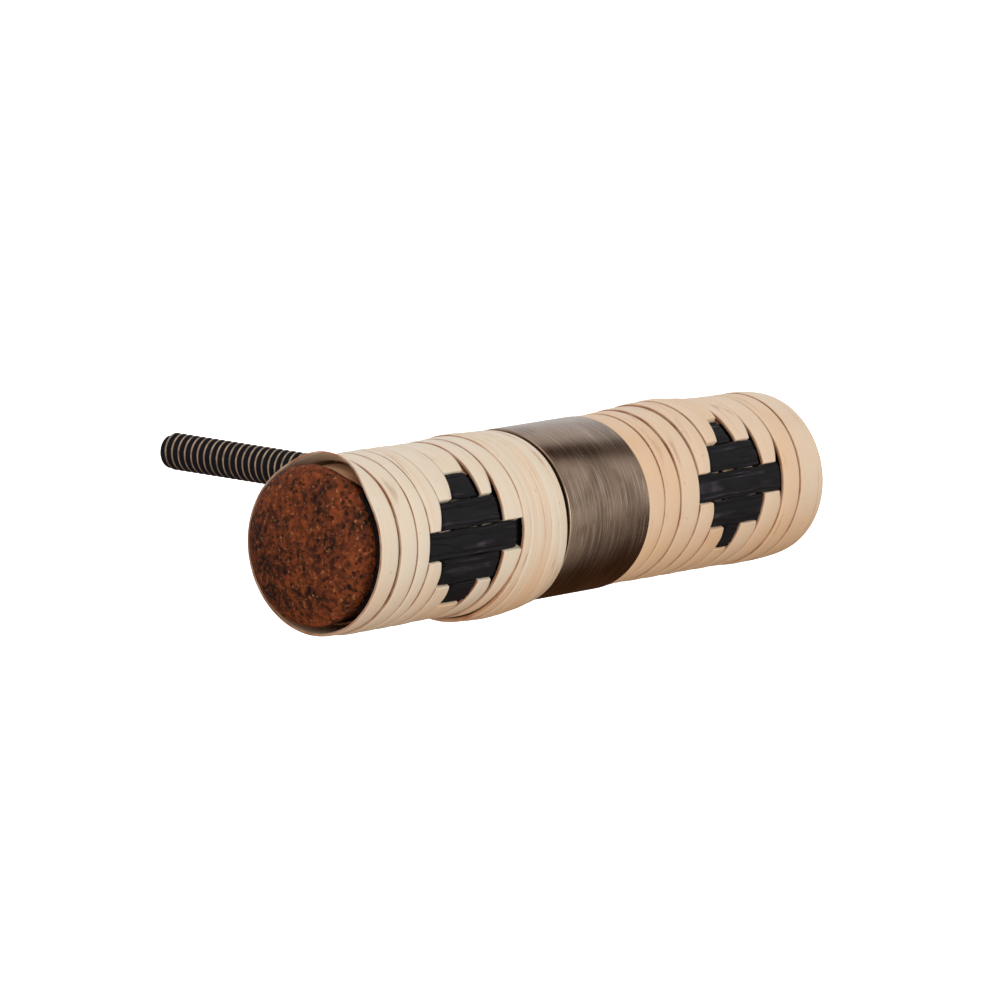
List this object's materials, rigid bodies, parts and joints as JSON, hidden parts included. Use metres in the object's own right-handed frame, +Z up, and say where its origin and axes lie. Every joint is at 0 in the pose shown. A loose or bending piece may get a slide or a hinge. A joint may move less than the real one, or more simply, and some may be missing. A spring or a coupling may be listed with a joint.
{
  "type": "cabinet knob",
  "caption": "T-bar cabinet knob: a cane-wrapped bar with woven black diamonds in an antique brass collar, on a threaded stud with its washer and nut.",
  "frame": {"origin": "on the stud's axis, in the plane of the post's end face, where the knob meets the door or drawer front", "axes": "+X along the bar, +Y along the stud into the door, +Z up"},
  "size_m": [0.0962, 0.0712, 0.0218],
  "materials": {
    "cane": "pale natural cane peel, satin, with fine grain along each strip",
    "black_cane": "black-dyed cane peel, satin, fibrous",
    "stained_pole": "porous pole end grain, stained reddish brown",
    "antique_brass": "brushed antique brass, darkened",
    "blackened_bronze": "blackened, worn bright on the thread crests"
  },
  "bodies": {
    "knob": {"brass_collar": "antique_brass", "brass_post": "antique_brass", "threaded_stud": "blackened_bronze", "pole_core": "stained_pole", "near_cane_band": "cane", "near_cane_turn_1": "cane", "near_cane_turn_2": "cane", "near_cane_turn_3": "cane", "near_cane_turn_4": "cane", "near_cane_turn_5": "cane", "near_cane_turn_6": "cane", "near_cane_turn_7": "cane", "near_cane_turn_8": "cane", "far_cane_turn_1": "cane", "far_cane_turn_2": "cane", "far_cane_turn_3": "cane", "far_cane_turn_4": "cane", "far_cane_turn_5": "cane", "far_cane_turn_6": "cane", "far_cane_turn_7": "cane", "far_cane_turn_8": "cane", "far_cane_turn_9": "cane", "far_cane_turn_10": "cane", "near_cane_lining": "cane", "far_cane_lining": "cane", "near_black_strip_1": "black_cane", "near_black_strip_2": "black_cane", "near_black_strip_3": "black_cane", "near_black_strip_4": "black_cane", "near_black_strip_5": "black_cane", "far_black_strip_1": "black_cane", "far_black_strip_2": "black_cane", "far_black_strip_3": "black_cane", "far_black_strip_4": "black_cane", "far_black_strip_5": "black_cane"},
    "washer": {"washer": "blackened_bronze"},
    "nut": {"hex_nut": "blackened_bronze"}
  },
  "joints": [
    {"name": "washer_slide", "type": "slide", "parent": "knob", "child": "washer", "axis": [0, 1, 0], "range_m": [-0.002, 0.0308]},
    {"name": "nut_spin", "type": "hinge", "parent": "washer", "child": "nut", "pos_m": [0, 0.006, 0], "axis": [0, 1, 0], "range_deg": [-685, 10482]}
  ],
  "couplings": [
    {"joint": "nut_spin", "follows": "washer_slide", "rad_per_m": 5937.1}
  ]
}
